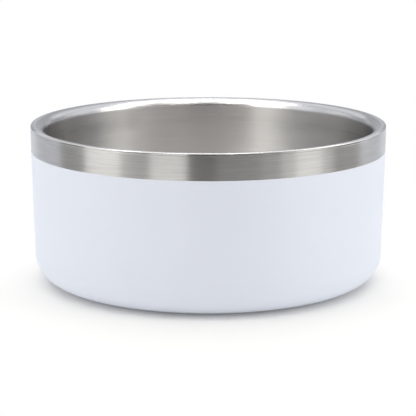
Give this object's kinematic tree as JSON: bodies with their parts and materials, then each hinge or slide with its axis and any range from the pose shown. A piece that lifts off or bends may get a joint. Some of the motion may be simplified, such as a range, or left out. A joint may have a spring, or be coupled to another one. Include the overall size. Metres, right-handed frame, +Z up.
{
  "type": "pet bowl",
  "caption": "Round double-wall pet bowl with a brushed steel inside and rim, a white coated outside and a non-slip ring foot.",
  "frame": {"origin": "on the floor under the bowl's axis, at the middle of the ring foot", "axes": "+Z up along the axis of symmetry; the picture looks along +Y"},
  "size_m": [0.165, 0.165, 0.0735],
  "materials": {
    "bowl_steel": "bare stainless, brushed round the bowl",
    "shell_steel": "bare stainless, brushed round the band",
    "white_coat": "cool white powder coat, satin",
    "weld_steel": "weld ground flush and polished",
    "ring_rubber": "matt moulded, dark grey",
    "cover_steel": "bare stainless, fine circular brushing",
    "adhesive": "set adhesive, pale and matt",
    "solder_glass": "opaque dark solder glass",
    "getter_metal": "pressed sintered metal, matt grey",
    "clip_steel": "rolled sheet, plain"
  },
  "bodies": {
    "root": {"inner_bowl": "bowl_steel", "outer_shell": "shell_steel", "powder_coat": "white_coat", "rim_weld": "weld_steel", "nonslip_ring": "ring_rubber", "base_cover": "cover_steel", "cover_adhesive": "adhesive", "vacuum_seal": "solder_glass", "getter_pill": "getter_metal", "getter_clip": "clip_steel"}
  },
  "joints": []
}
